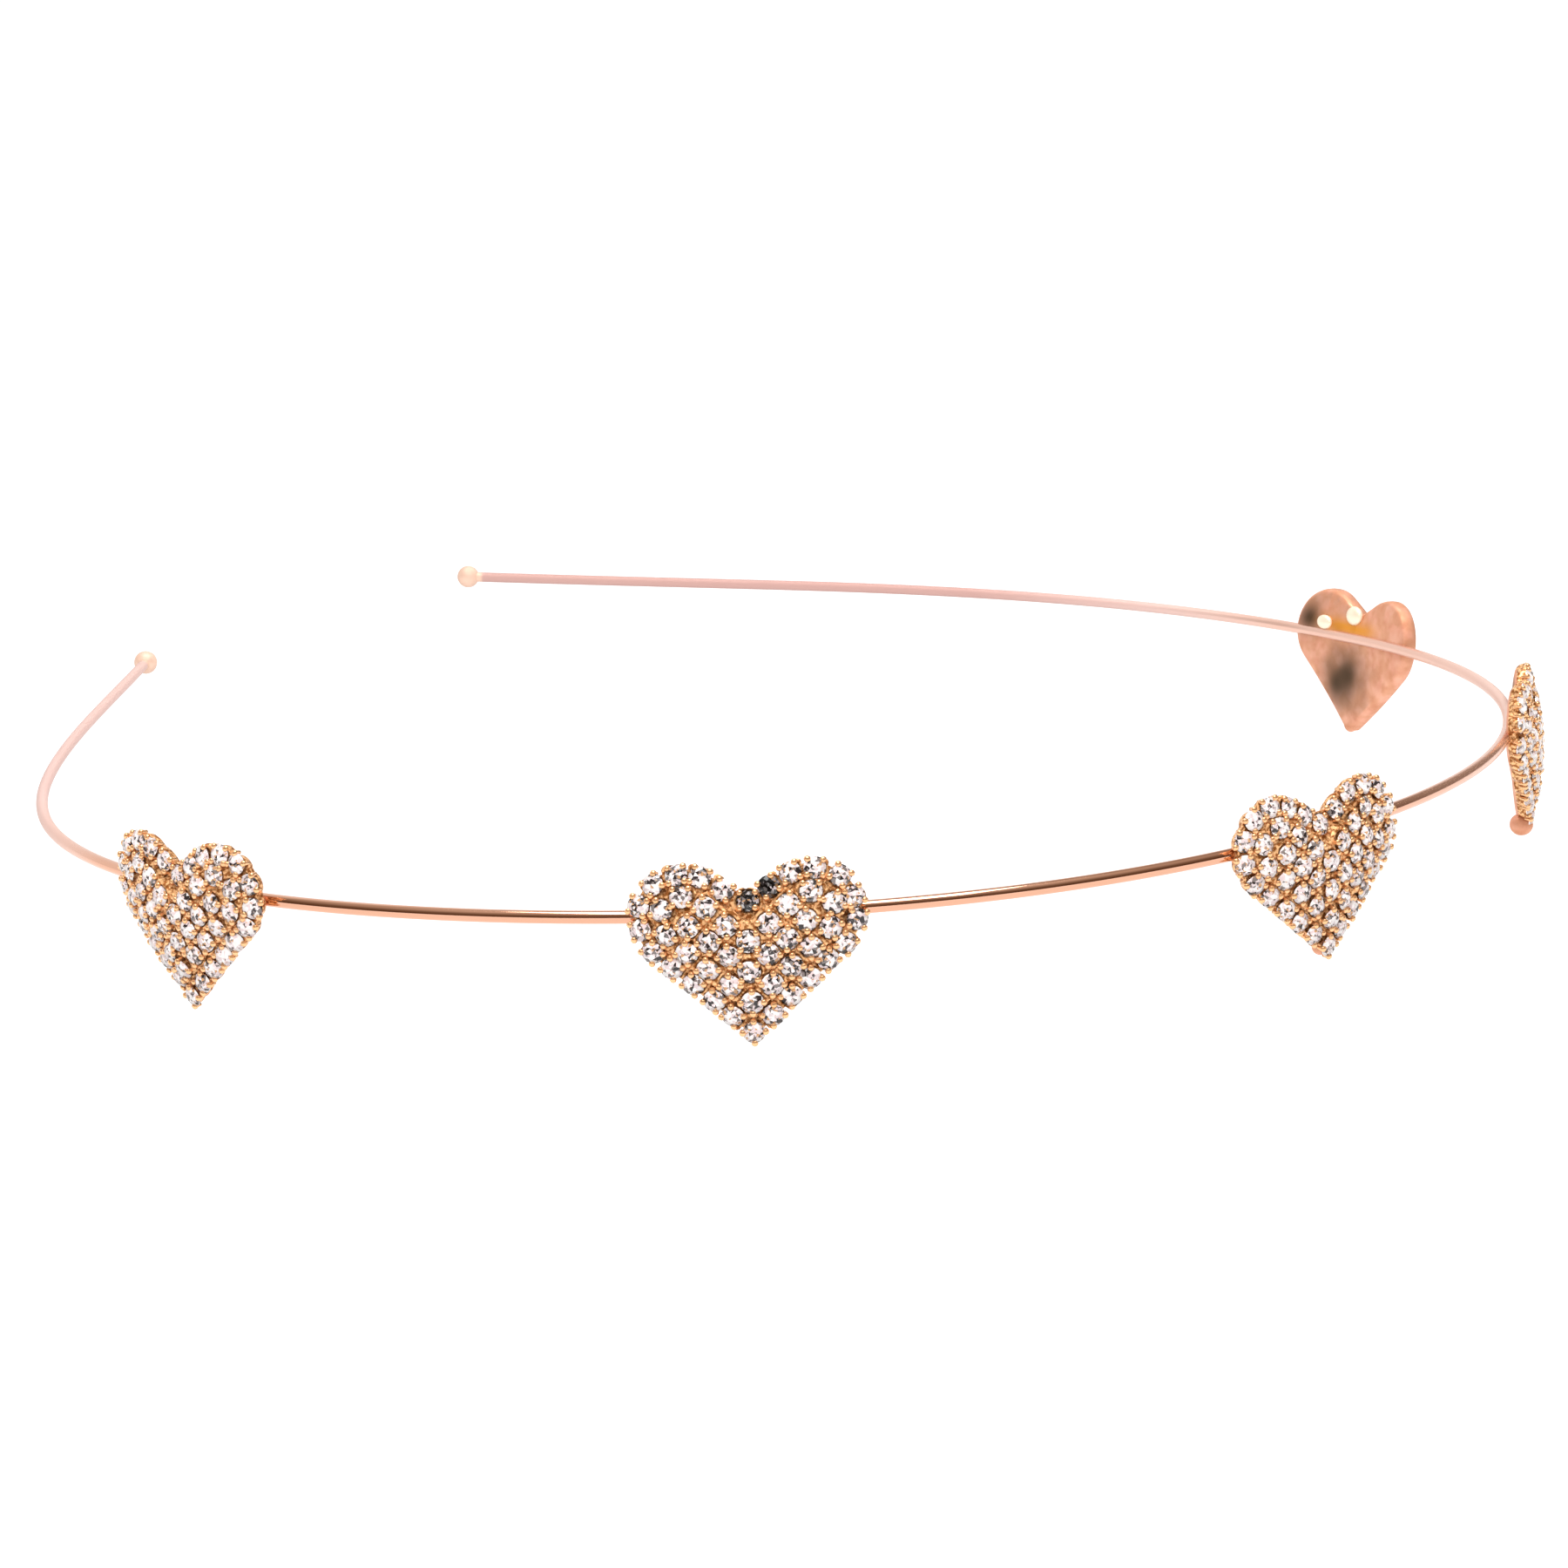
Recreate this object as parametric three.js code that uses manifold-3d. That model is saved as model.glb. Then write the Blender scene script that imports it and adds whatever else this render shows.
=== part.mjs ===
// Heart headband: a springy open wire band that carries five hearts set with clear stones.
// Millimetres, +Z up. It rests on the tips of its hearts. The middle heart faces -Y, and the open ends point to +Y.
import * as THREE from 'three';
import { mergeVertices } from 'three/addons/utils/BufferGeometryUtils.js';
import Module from 'manifold-3d';

// Wire and end balls. An arm runs along the wire from the middle heart to the centre of an end ball.
const ARM_LENGTH = 243.75;
const WIRE_DIAMETER = 1.2;
const WIRE_ARC_SEGMENTS = 4;
const WIRE_STEPS = 80;
const PATH_STEP = 5;
const PLAN_STEP = 1.25;
const BALL_DIAMETER = 2.9;
const BALL_SIDES = 12;
const BALL_BANDS = 8;

// How sharply an arm bends along its length, the same on both sides.
const BEND_TABLE = [
  { arc: 0, degreesPerCm: 6.0 },
  { arc: 31.25, degreesPerCm: 7.6 },
  { arc: 62.5, degreesPerCm: 6.7 },
  { arc: 93.75, degreesPerCm: 6.0 },
  { arc: 125, degreesPerCm: 8.5 },
  { arc: 156.25, degreesPerCm: 7.7 },
  { arc: 187.5, degreesPerCm: 2.7 },
  { arc: 218.75, degreesPerCm: 0.6 },
  { arc: 250, degreesPerCm: -1.1 },
];

// The free arms spring up beyond the outer hearts, one a little more than the other.
const LEFT_RISE = 1.65;
const RIGHT_RISE = 5.6;

// Hearts. Heights on a heart are measured from where the wire crosses its middle line.
const HEART_NAMES = ['left_outer', 'left', 'middle', 'right', 'right_outer'];
const HEART_SPACING = 59.2;
const HEART_LEAN = THREE.MathUtils.degToRad(1.8);
const REST_HEIGHT = 12.05;
const LOBE_X = 5.9;
const LOBE_Y = 0.2;

// Each ring of stones runs from the notch, round a lobe, to the tip. The innermost stones stand in a V.
const STONE_RINGS = [
  { lobeRadius: 4.3, notch: 1.04, tip: -10.8, steps: 12 },
  { lobeRadius: 2.1, notch: -2.2, tip: -7.75, steps: 9 },
];
const STONE_V = { tip: -4.95, endX: 5.4, endY: -0.45, steps: 3 };

// Depths of a heart, outwards from the wire's centre line.
const PLATE_BACK = 0.42;
const PLATE_THICKNESS = 0.7;
const PLATE_MARGIN = 1.1;
const OUTLINE_ARC_SEGMENTS = 6;
const SEAT_GAP = 0.3;
const SETTING_THICKNESS = 0.85;
const SETTING_MARGIN = 0.45;
const CUP_RADIUS = 1.0;
const CUP_FOOT = 0.1;
const GIRDLE_SINK = 0.03;
const CROWN_HEIGHT = 0.55;
const TABLE_RADIUS = 0.55;
const STONE_FACETS = 8;

// Rounded foot at the tip of each plate, cut flat where it rests.
const FOOT_RADIUS = 1.1;
const FOOT_HALF_DEPTH = 0.75;
const FOOT_HEIGHT = -11.1;
const FOOT_DEPTH = 0.35;
const FOOT_SIDES = 10;
const FOOT_BANDS = 6;

const MERGE_DISTANCE = 1e-4;
const CUTTER_SIZE = 400;
const CUTTER_DEPTH = 10;

const wasm = await Module();
wasm.setup();

const roseGold = new THREE.MeshStandardMaterial({ color: '#e8b496', roughness: 0.16, metalness: 1 });
const crystal = new THREE.MeshStandardMaterial({ color: '#efe9ee', roughness: 0.05, metalness: 0 });

// Solids and geometry

function solidFrom(geometry, matrix = new THREE.Matrix4()) {
  const bare = geometry.clone().applyMatrix4(matrix);
  bare.deleteAttribute('normal');
  bare.deleteAttribute('uv');
  const merged = mergeVertices(bare, MERGE_DISTANCE);
  const corners = [];
  for (let i = 0; i < merged.index.count; i += 3) {
    const triangle = [0, 1, 2].map((k) => merged.index.getX(i + k));
    if (new Set(triangle).size === triangle.length) corners.push(...triangle);
  }
  const vertProperties = new Float32Array(merged.attributes.position.array);
  const triVerts = new Uint32Array(corners);
  return new wasm.Manifold(new wasm.Mesh({ numProp: 3, vertProperties, triVerts }));
}

function geometryFrom(solid) {
  const mesh = solid.getMesh();
  const geometry = new THREE.BufferGeometry();
  geometry.setAttribute('position', new THREE.BufferAttribute(mesh.vertProperties, mesh.numProp));
  geometry.setIndex(new THREE.BufferAttribute(mesh.triVerts, 1));
  geometry.computeVertexNormals();
  return geometry;
}

function joined(solids) {
  return solids.reduce((whole, solid) => whole.add(solid));
}

// The wire's line

function bendAt(arc) {
  const above = BEND_TABLE.findIndex((row) => row.arc > arc);
  const row = BEND_TABLE[above - 1];
  const next = BEND_TABLE[above];
  const degrees = THREE.MathUtils.mapLinear(arc, row.arc, next.arc, row.degreesPerCm, next.degreesPerCm);
  return THREE.MathUtils.degToRad(degrees) / 10;
}

function planOfArm() {
  const rows = [{ x: 0, y: 0, heading: 0 }];
  for (let arc = 0; arc < ARM_LENGTH; arc += PLAN_STEP) {
    const last = rows[rows.length - 1];
    const turn = bendAt(arc + PLAN_STEP / 2) * PLAN_STEP;
    const middleHeading = last.heading + turn / 2;
    rows.push({
      x: last.x + PLAN_STEP * Math.cos(middleHeading),
      y: last.y + PLAN_STEP * Math.sin(middleHeading),
      heading: last.heading + turn,
    });
  }
  return rows;
}

const ARM_PLAN = planOfArm();

function wireAt(arc) {
  const along = Math.abs(arc);
  const side = Math.sign(arc);
  const index = Math.min(Math.floor(along / PLAN_STEP), ARM_PLAN.length - 2);
  const share = along / PLAN_STEP - index;
  const between = (key) => THREE.MathUtils.lerp(ARM_PLAN[index][key], ARM_PLAN[index + 1][key], share);
  const outerHeart = 2 * HEART_SPACING;
  const free = Math.max(0, (along - outerHeart) / (ARM_LENGTH - outerHeart));
  const rise = (arc < 0 ? LEFT_RISE : RIGHT_RISE) * free ** 2;
  return { point: new THREE.Vector3(side * between('x'), between('y'), rise), heading: side * between('heading') };
}

function makeWire() {
  const points = [];
  const count = Math.round((2 * ARM_LENGTH) / PATH_STEP);
  for (let i = 0; i <= count; i += 1) points.push(wireAt(-ARM_LENGTH + (2 * ARM_LENGTH * i) / count).point);
  const section = new THREE.Shape().absarc(0, 0, WIRE_DIAMETER / 2, 0, 2 * Math.PI);
  const path = new THREE.CatmullRomCurve3(points);
  const options = { extrudePath: path, steps: WIRE_STEPS, curveSegments: WIRE_ARC_SEGMENTS };
  return solidFrom(new THREE.ExtrudeGeometry(section, options));
}

function makeEndBall(arc) {
  const ball = new THREE.SphereGeometry(BALL_DIAMETER / 2, BALL_SIDES, BALL_BANDS);
  const { x, y, z } = wireAt(arc).point;
  return solidFrom(ball, new THREE.Matrix4().makeTranslation(x, y, z));
}

// The heart's outline and its stones

function tangentAngle(cornerY, lobeRadius, turn) {
  const towards = new THREE.Vector2(-LOBE_X, cornerY - LOBE_Y);
  return towards.angle() + turn * Math.acos(lobeRadius / towards.length());
}

function heartShape(margin) {
  const ring = STONE_RINGS[0];
  const radius = ring.lobeRadius + margin;
  const notchAngle = tangentAngle(ring.notch, ring.lobeRadius, -1);
  const tipAngle = tangentAngle(ring.tip, ring.lobeRadius, 1);
  const shape = new THREE.Shape();
  shape.moveTo(0, ring.notch + margin / Math.sin(notchAngle));
  shape.lineTo(LOBE_X + radius * Math.cos(notchAngle), LOBE_Y + radius * Math.sin(notchAngle));
  shape.absarc(LOBE_X, LOBE_Y, radius, notchAngle, tipAngle, true);
  shape.absarc(0, ring.tip, margin, tipAngle, Math.PI - tipAngle, true);
  shape.absarc(-LOBE_X, LOBE_Y, radius, Math.PI - tipAngle, Math.PI - notchAngle, true);
  shape.closePath();
  return shape;
}

function ringPoints(ring) {
  const notchAngle = tangentAngle(ring.notch, ring.lobeRadius, -1);
  const tipAngle = tangentAngle(ring.tip, ring.lobeRadius, 1);
  const path = new THREE.Path();
  path.moveTo(0, ring.notch);
  path.lineTo(LOBE_X + ring.lobeRadius * Math.cos(notchAngle), LOBE_Y + ring.lobeRadius * Math.sin(notchAngle));
  path.absarc(LOBE_X, LOBE_Y, ring.lobeRadius, notchAngle, tipAngle, true);
  path.lineTo(0, ring.tip);
  return path.getSpacedPoints(ring.steps);
}

function stonePlaces() {
  const arm = new THREE.LineCurve(new THREE.Vector2(0, STONE_V.tip), new THREE.Vector2(STONE_V.endX, STONE_V.endY));
  const half = [...STONE_RINGS.flatMap(ringPoints), ...arm.getSpacedPoints(STONE_V.steps)];
  const mirrored = half.filter((place) => place.x > CUP_RADIUS / 2);
  return [...half, ...mirrored.map((place) => new THREE.Vector2(-place.x, place.y))];
}

function makeStone() {
  const girdle = SETTING_THICKNESS - GIRDLE_SINK;
  const profile = [
    new THREE.Vector2(0, CUP_FOOT),
    new THREE.Vector2(CUP_RADIUS, CUP_FOOT),
    new THREE.Vector2(CUP_RADIUS, girdle),
    new THREE.Vector2(TABLE_RADIUS, girdle + CROWN_HEIGHT),
    new THREE.Vector2(0, girdle + CROWN_HEIGHT),
  ];
  return new THREE.LatheGeometry(profile, STONE_FACETS).rotateX(Math.PI / 2);
}

function makeStoneField() {
  const options = { depth: SETTING_THICKNESS, bevelEnabled: false, curveSegments: OUTLINE_ARC_SEGMENTS };
  const seat = PLATE_BACK + PLATE_THICKNESS + SEAT_GAP;
  const setting = new THREE.ExtrudeGeometry(heartShape(SETTING_MARGIN), options).translate(0, 0, seat);
  const stone = makeStone().translate(0, 0, seat);
  const stones = stonePlaces().map(({ x, y }) => solidFrom(stone, new THREE.Matrix4().makeTranslation(x, y, 0)));
  return geometryFrom(joined([solidFrom(setting), ...stones]));
}

// Plates and band

function makePlate(matrix) {
  const options = { depth: PLATE_THICKNESS, bevelEnabled: false, curveSegments: OUTLINE_ARC_SEGMENTS };
  const plate = new THREE.ExtrudeGeometry(heartShape(PLATE_MARGIN), options).translate(0, 0, PLATE_BACK);
  const foot = new THREE.SphereGeometry(FOOT_RADIUS, FOOT_SIDES, FOOT_BANDS);
  foot.scale(1, 1, FOOT_HALF_DEPTH / FOOT_RADIUS).translate(0, FOOT_HEIGHT, FOOT_DEPTH);
  return joined([solidFrom(plate, matrix), solidFrom(foot, matrix)]);
}

function makeBand(heartMatrices) {
  const metal = joined([
    makeWire(),
    makeEndBall(-ARM_LENGTH),
    makeEndBall(ARM_LENGTH),
    ...heartMatrices.map(makePlate),
  ]);
  const below = new THREE.BoxGeometry(2 * CUTTER_SIZE, 2 * CUTTER_SIZE, CUTTER_DEPTH);
  below.translate(0, 0, -REST_HEIGHT - CUTTER_DEPTH / 2);
  return geometryFrom(metal.subtract(solidFrom(below)));
}

// The whole headband

const headband = new THREE.Group();
const stoneField = makeStoneField();
const hearts = HEART_NAMES.map((name, index) => {
  const { point, heading } = wireAt((index - (HEART_NAMES.length - 1) / 2) * HEART_SPACING);
  const heart = new THREE.Group();
  heart.position.copy(point);
  heart.rotation.set(Math.PI / 2 + HEART_LEAN, 0, heading, 'ZYX');
  heart.updateMatrix();
  const stones = new THREE.Mesh(stoneField, crystal);
  stones.name = `stones_${name}`;
  heart.add(stones);
  return heart;
});

const band = new THREE.Mesh(makeBand(hearts.map((heart) => heart.matrix)), roseGold);
band.name = 'band';
headband.add(band, ...hearts);

// The origin is under the middle of the headband, on the surface that it rests on.
const extent = new THREE.Box3().setFromObject(headband, true);
const middle = extent.getCenter(new THREE.Vector3());
headband.position.set(-middle.x, -middle.y, -extent.min.z);

export default headband;
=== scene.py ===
# %% [markdown]
# # A heart headband, dressed for its photograph
#
# A springy rose-gold wire carries five hearts paved with small cut stones. The CAD model gives the
# sizes and stays hidden behind the finer pieces that are made here: the wire, the domed castings,
# the claws and the stones. Everything is in metres and in the CAD model's own frame.

import bisect
import math
import random

import bmesh
import bpy
from mathutils import Matrix, Vector, noise


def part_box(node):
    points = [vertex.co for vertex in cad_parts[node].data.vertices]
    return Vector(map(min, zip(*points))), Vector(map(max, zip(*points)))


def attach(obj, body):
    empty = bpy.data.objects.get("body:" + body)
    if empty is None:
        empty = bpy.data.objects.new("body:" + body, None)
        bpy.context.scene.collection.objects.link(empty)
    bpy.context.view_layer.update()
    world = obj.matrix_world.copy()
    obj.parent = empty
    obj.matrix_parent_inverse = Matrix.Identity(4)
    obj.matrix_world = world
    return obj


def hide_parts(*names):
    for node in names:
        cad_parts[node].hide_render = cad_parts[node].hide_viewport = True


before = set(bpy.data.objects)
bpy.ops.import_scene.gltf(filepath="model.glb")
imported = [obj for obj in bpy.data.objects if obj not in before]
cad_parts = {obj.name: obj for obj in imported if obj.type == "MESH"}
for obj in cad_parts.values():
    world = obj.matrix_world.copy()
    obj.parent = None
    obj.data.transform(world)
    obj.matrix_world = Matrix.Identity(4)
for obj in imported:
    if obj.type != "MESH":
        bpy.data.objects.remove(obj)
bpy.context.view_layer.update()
scene = bpy.context.scene
MM = 0.001

# %% [markdown]
# ## Helpers for colours and nodes
#
# Screens give colours as sRGB hex values, but a shader works in linear light, so one function turns
# the first into the second. Shader trees and Geometry Nodes trees are built in the same way: add a
# node, set its options, then give each input a value or a link. One function does that for both.
# Every finish starts from an empty material and ends in one Principled shader, so two short
# functions do that too.

# %% Colours and nodes


def colour(hex_value):
    """Turn an sRGB hex value into the linear colour that a shader expects."""
    shares = [int(hex_value[place : place + 2], 16) / 255 for place in (1, 3, 5)]
    linear = [((c + 0.055) / 1.055) ** 2.4 if c > 0.04045 else c / 12.92 for c in shares]
    return (*linear, 1.0)


def add_node(tree, kind, inputs=None, **options):
    """Add a node with its options, and give each named or numbered input a value or a link."""
    node = tree.nodes.new(kind)
    for name, value in options.items():
        setattr(node, name, value)
    for key, value in (inputs or {}).items():
        if isinstance(value, bpy.types.NodeSocket):
            tree.links.new(value, node.inputs[key])
        else:
            node.inputs[key].default_value = value
    return node


def new_finish(name):
    """Start an empty material, and return it with its tree."""
    material = bpy.data.materials.new(name)
    material.use_nodes = True
    material.node_tree.nodes.clear()
    return material, material.node_tree


def add_coat(tree, inputs):
    """End a finish with the one shader that gives all its looks."""
    coat = add_node(tree, "ShaderNodeBsdfPrincipled", inputs)
    add_node(tree, "ShaderNodeOutputMaterial", {"Surface": coat.outputs[0]})


print("rose gold in linear light:", [round(value, 3) for value in colour("#f2b692")])

# %% [markdown]
# ## The camera
#
# The photograph was taken from a little above the wire, to the left of the middle heart, with a long
# lens that was held slightly askew. A camera looks along its own -Z with +Y up, so its matrix can be
# written straight from the three directions that it sees as right, up and backwards. That is easier to
# read than three rotation angles, and it makes the small roll plain.

# %% Camera
CAMERA_PLACE = Vector((-0.285988, -0.358092, 0.106834))
CAMERA_HEADING = math.radians(39.18)
CAMERA_DIP = math.radians(12.51)
CAMERA_ROLL = math.radians(-3.05)
CAMERA_LENS = 93.5


def camera_matrix():
    """Stand the camera at its place, turned by its heading, dip and roll."""
    ahead = Vector((math.sin(CAMERA_HEADING), math.cos(CAMERA_HEADING), 0)) * math.cos(CAMERA_DIP)
    ahead.z = -math.sin(CAMERA_DIP)
    level = Vector((math.cos(CAMERA_HEADING), -math.sin(CAMERA_HEADING), 0))
    upright = level.cross(ahead)
    right = math.cos(CAMERA_ROLL) * level + math.sin(CAMERA_ROLL) * upright
    up = math.cos(CAMERA_ROLL) * upright - math.sin(CAMERA_ROLL) * level
    turn = Matrix((right, up, -ahead)).transposed().to_4x4()
    return Matrix.Translation(CAMERA_PLACE) @ turn


camera_data = bpy.data.cameras.new("camera")
camera_data.lens = CAMERA_LENS
camera_data.sensor_width = 36
camera_data.clip_start = 0.01
camera = bpy.data.objects.new("camera", camera_data)
camera.matrix_world = camera_matrix()
scene.collection.objects.link(camera)
scene.camera = camera
print("camera stands", round(CAMERA_PLACE.length, 3), "m from the origin")

# %% [markdown]
# ## The floor
#
# The headband lies on plain white paper over a light table, which runs out of the picture on all
# sides. One wide flat face is enough, just under the lowest foot. The paper is rough, so it spreads
# light evenly and shows no reflection, and the light that comes through it from below leaves only
# faint shadows.

# %% Floor
FLOOR_HALF_WIDTH = 6.0
FLOOR_HEIGHT = -1.4 * MM
TABLE_GLOW = 0.94


def matt_paper():
    """Matt white paper lit from below: even, with a faint fibre grain about a millimetre across."""
    material, tree = new_finish("matt_white_paper")
    place = add_node(tree, "ShaderNodeTexCoord").outputs["Object"]
    fibre = add_node(tree, "ShaderNodeTexNoise", {"Vector": place, "Scale": 1 / MM, "Detail": 3.0})
    grain = {"Height": fibre.outputs[0], "Strength": 0.05, "Distance": 0.05 * MM}
    looks = {
        "Base Color": colour("#707070"),
        "Roughness": 0.85,
        "Normal": add_node(tree, "ShaderNodeBump", grain).outputs[0],
        "Specular IOR Level": 0.1,
        "Emission Color": colour("#ffffff"),
        "Emission Strength": TABLE_GLOW,
    }
    add_coat(tree, looks)
    return material


floor_mesh = bpy.data.meshes.new("floor")
corners = [(-1, -1), (1, -1), (1, 1), (-1, 1)]
floor_points = [(x * FLOOR_HALF_WIDTH, y * FLOOR_HALF_WIDTH, FLOOR_HEIGHT) for x, y in corners]
floor_mesh.from_pydata(floor_points, [], [(0, 1, 2, 3)])
floor_mesh.materials.append(matt_paper())
floor = bpy.data.objects.new("floor", floor_mesh)
scene.collection.objects.link(floor)
print("floor is", 2 * FLOOR_HALF_WIDTH, "m wide")

# %% [markdown]
# ## The studio
#
# Polished metal and cut stones show little of their own: they show what stands around them. The room
# is dim and brown all round and bright overhead, which gives the wire its dark upper half with a pale
# top edge, and the lit table below gives it the peach underside. A tall white screen at the back left
# keeps the free arms pale. The room is the world's background: one ramp from the horizon to the
# zenith, and one round the screen. Three lamps help. One overhead is only there to be reflected, as
# sparks on the claws and facets. One beside the camera brightens the stones, and one on the right
# lights the hearts of that side. These two are hidden from polished metal, which would show them as
# white patches.

# %% Room
ROOM_TONES = ((0.0, "#66503d"), (0.30, "#685441"), (0.60, "#86786a"), (0.85, "#c0b7ad"), (1.0, "#f4f0ec"))
SCREEN_AZIMUTH = math.radians(82)
SCREEN_SIDE = Vector((math.cos(SCREEN_AZIMUTH), math.sin(SCREEN_AZIMUTH), 0))
SCREEN_EDGE = ((0.48, "#000000"), (0.74, "#ffffff"))


def set_tones(ramp, tones):
    """Give a ramp its sRGB tones, each from its own start."""
    elements = ramp.color_ramp.elements
    while len(elements) < len(tones):
        elements.new(0.5)
    for element, (start, tone) in zip(elements, tones):
        element.position = start
        element.color = colour(tone)


def studio_room():
    """A room that brightens from a dim horizon to a white ceiling, with a white screen on one side."""
    world = bpy.data.worlds.new("studio_room")
    world.use_nodes = True
    tree = world.node_tree
    tree.nodes.clear()
    way = add_node(tree, "ShaderNodeTexCoord").outputs["Generated"]
    height = add_node(tree, "ShaderNodeSeparateXYZ", {0: way})
    room = add_node(tree, "ShaderNodeValToRGB", {"Fac": height.outputs["Z"]})
    set_tones(room, ROOM_TONES)
    towards = add_node(tree, "ShaderNodeVectorMath", {0: way, 1: SCREEN_SIDE}, operation="DOT_PRODUCT")
    screen = add_node(tree, "ShaderNodeValToRGB", {"Fac": towards.outputs["Value"]})
    set_tones(screen, SCREEN_EDGE)
    shares = {"Factor": screen.outputs[0], 6: room.outputs[0], 7: colour("#ffffff")}
    light = add_node(tree, "ShaderNodeMix", shares, data_type="RGBA")
    glow = add_node(tree, "ShaderNodeBackground", {"Color": light.outputs[2]})
    add_node(tree, "ShaderNodeOutputWorld", {"Surface": glow.outputs[0]})
    return world


scene.world = studio_room()
scene.view_settings.view_transform = "Standard"
print("room has", len(ROOM_TONES), "tones from its horizon to its zenith")

# %% Lamps
LAMPS = {
    "lamp_sparks": {"place": (-0.06, -0.08, 0.65), "aim": (-0.03, -0.04, 0), "size": 0.45, "power": 3.4},
    "lamp_front": {"place": (-0.42, -0.46, 0.42), "aim": (-0.01, -0.03, 0), "size": 0.50, "power": 9.0},
    "lamp_side": {"place": (0.62, 0.02, 0.42), "aim": (0.05, 0.0, 0.0), "size": 0.50, "power": 5.5},
}


def soft_lamp(name, place, aim, size, power):
    """A square lamp at a place in metres, turned towards an aim."""
    data = bpy.data.lights.new(name, "AREA")
    data.size = size
    data.energy = power
    lamp = bpy.data.objects.new(name, data)
    lamp.location = place
    lamp.rotation_euler = (Vector(aim) - Vector(place)).to_track_quat("-Z", "Y").to_euler()
    scene.collection.objects.link(lamp)
    return lamp


lamps = {name: soft_lamp(name, **given) for name, given in LAMPS.items()}
lamps["lamp_sparks"].visible_diffuse = False
for name in ("lamp_front", "lamp_side"):
    lamps[name].visible_glossy = False
    lamps[name].visible_transmission = False
print("lamps:", list(lamps))

# %% [markdown]
# ## Rose-gold plating
#
# The metal is thin rose gold plated on brass and polished. Gold with copper in it reflects red light
# best, so white surroundings come back peach. A polished metal has no colour of its own under that
# reflection, so the base colour is the reflection's colour. A satin or matt finish also scatters some
# light like paint, which a metallic share below 1 gives. Polishing leaves slow waves a few millimetres
# long, and handling leaves finer marks that dull the gloss a little.

# %% Rose-gold plating
# Real marks are much finer: these are drawn coarse enough to show. A wave's depth is a share of its length.
MARKS_MM = 1.5
WAVE_DEPTH = 0.03


def rose_gold(name, shade, roughness, wave_mm, relief=0.25, metallic=1.0, specks=None, patches=()):
    """Rose-gold plating on brass.

    Specks are a shade and a size in millimetres. A patch lies where the mesh's attribute says, with its
    own shade, roughness and metallic share.
    """
    material, tree = new_finish(name)
    place = add_node(tree, "ShaderNodeTexCoord").outputs["Object"]
    marks = add_node(
        tree, "ShaderNodeTexNoise", {"Vector": place, "Scale": 1 / (MARKS_MM * MM), "Detail": 4.0}
    )
    waves = add_node(
        tree, "ShaderNodeTexNoise", {"Vector": place, "Scale": 1 / (wave_mm * MM), "Detail": 1.0}
    )
    bumps = {"Height": waves.outputs[0], "Strength": relief, "Distance": WAVE_DEPTH * wave_mm * MM}
    limits = {"From Min": 0.3, "From Max": 0.7, "To Min": 0.7 * roughness, "To Max": 1.4 * roughness}
    rough = add_node(tree, "ShaderNodeMapRange", {"Value": marks.outputs[0], **limits}).outputs[0]
    tint, lustre = colour(shade), metallic
    if specks:
        speck_shade, speck_mm = specks
        skin = add_node(
            tree, "ShaderNodeTexNoise", {"Vector": place, "Scale": 1 / (speck_mm * MM), "Detail": 2.0}
        )
        edges = {"Value": skin.outputs[0], "From Min": 0.42, "From Max": 0.58}
        share = add_node(tree, "ShaderNodeMapRange", edges).outputs[0]
        tones = {"Factor": share, 6: tint, 7: colour(speck_shade)}
        tint = add_node(tree, "ShaderNodeMix", tones, data_type="RGBA").outputs[2]
    for patch in patches:
        share = add_node(tree, "ShaderNodeAttribute", attribute_name=patch["attribute"]).outputs["Fac"]
        tones = {"Factor": share, 6: tint, 7: colour(patch["shade"])}
        tint = add_node(tree, "ShaderNodeMix", tones, data_type="RGBA").outputs[2]
        skins = {"Factor": share, 2: rough, 3: patch["roughness"]}
        rough = add_node(tree, "ShaderNodeMix", skins).outputs[0]
        if patch["metallic"] != metallic:
            sheens = {"Factor": share, 2: lustre, 3: patch["metallic"]}
            lustre = add_node(tree, "ShaderNodeMix", sheens).outputs[0]
    looks = {"Base Color": tint, "Metallic": lustre, "Roughness": rough}
    add_coat(tree, {**looks, "Normal": add_node(tree, "ShaderNodeBump", bumps).outputs[0]})
    return material


print("handling marks are about", MARKS_MM, "mm long")

# %% Metals
# Hair and fingers rub the free arms to a paler satin, which scatters light almost like paint. Painted shade
# darkens the right arm past its outer heart, and about half the left arm's end, and the ends are dipped with
# the balls.
BALL_SHADE = "#e2c0ac"
WIRE_PATCHES = (
    {"attribute": "rubbed", "shade": "#e3c8c0", "roughness": 0.55, "metallic": 0.4},
    # The second patch is painted shade: a darker, rougher pink on the free arms.
    {"attribute": "darkened", "shade": "#c59f98", "roughness": 0.7, "metallic": 0.4},
    {"attribute": "dipped", "shade": BALL_SHADE, "roughness": 0.6, "metallic": 0.4},
)
WIRE_METAL = rose_gold("rose_gold_polished_wire", "#e6b094", 0.09, 6.0, patches=WIRE_PATCHES)
# The backs are darker brown in round patches at listed spots, and have an amber tint of flux along the seam.
BACK_PATCHES = (
    {"attribute": "stain", "shade": "#523c28", "roughness": 0.45, "metallic": 0.8},
    {"attribute": "flux", "shade": "#e8992f", "roughness": 0.35, "metallic": 0.8},
)
CASTING_METAL = rose_gold(
    "rose_gold_casting", "#ecb297", 0.6, 5.0, metallic=0.8, specks=("#e2a685", 2.2), patches=BACK_PATCHES
)
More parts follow.
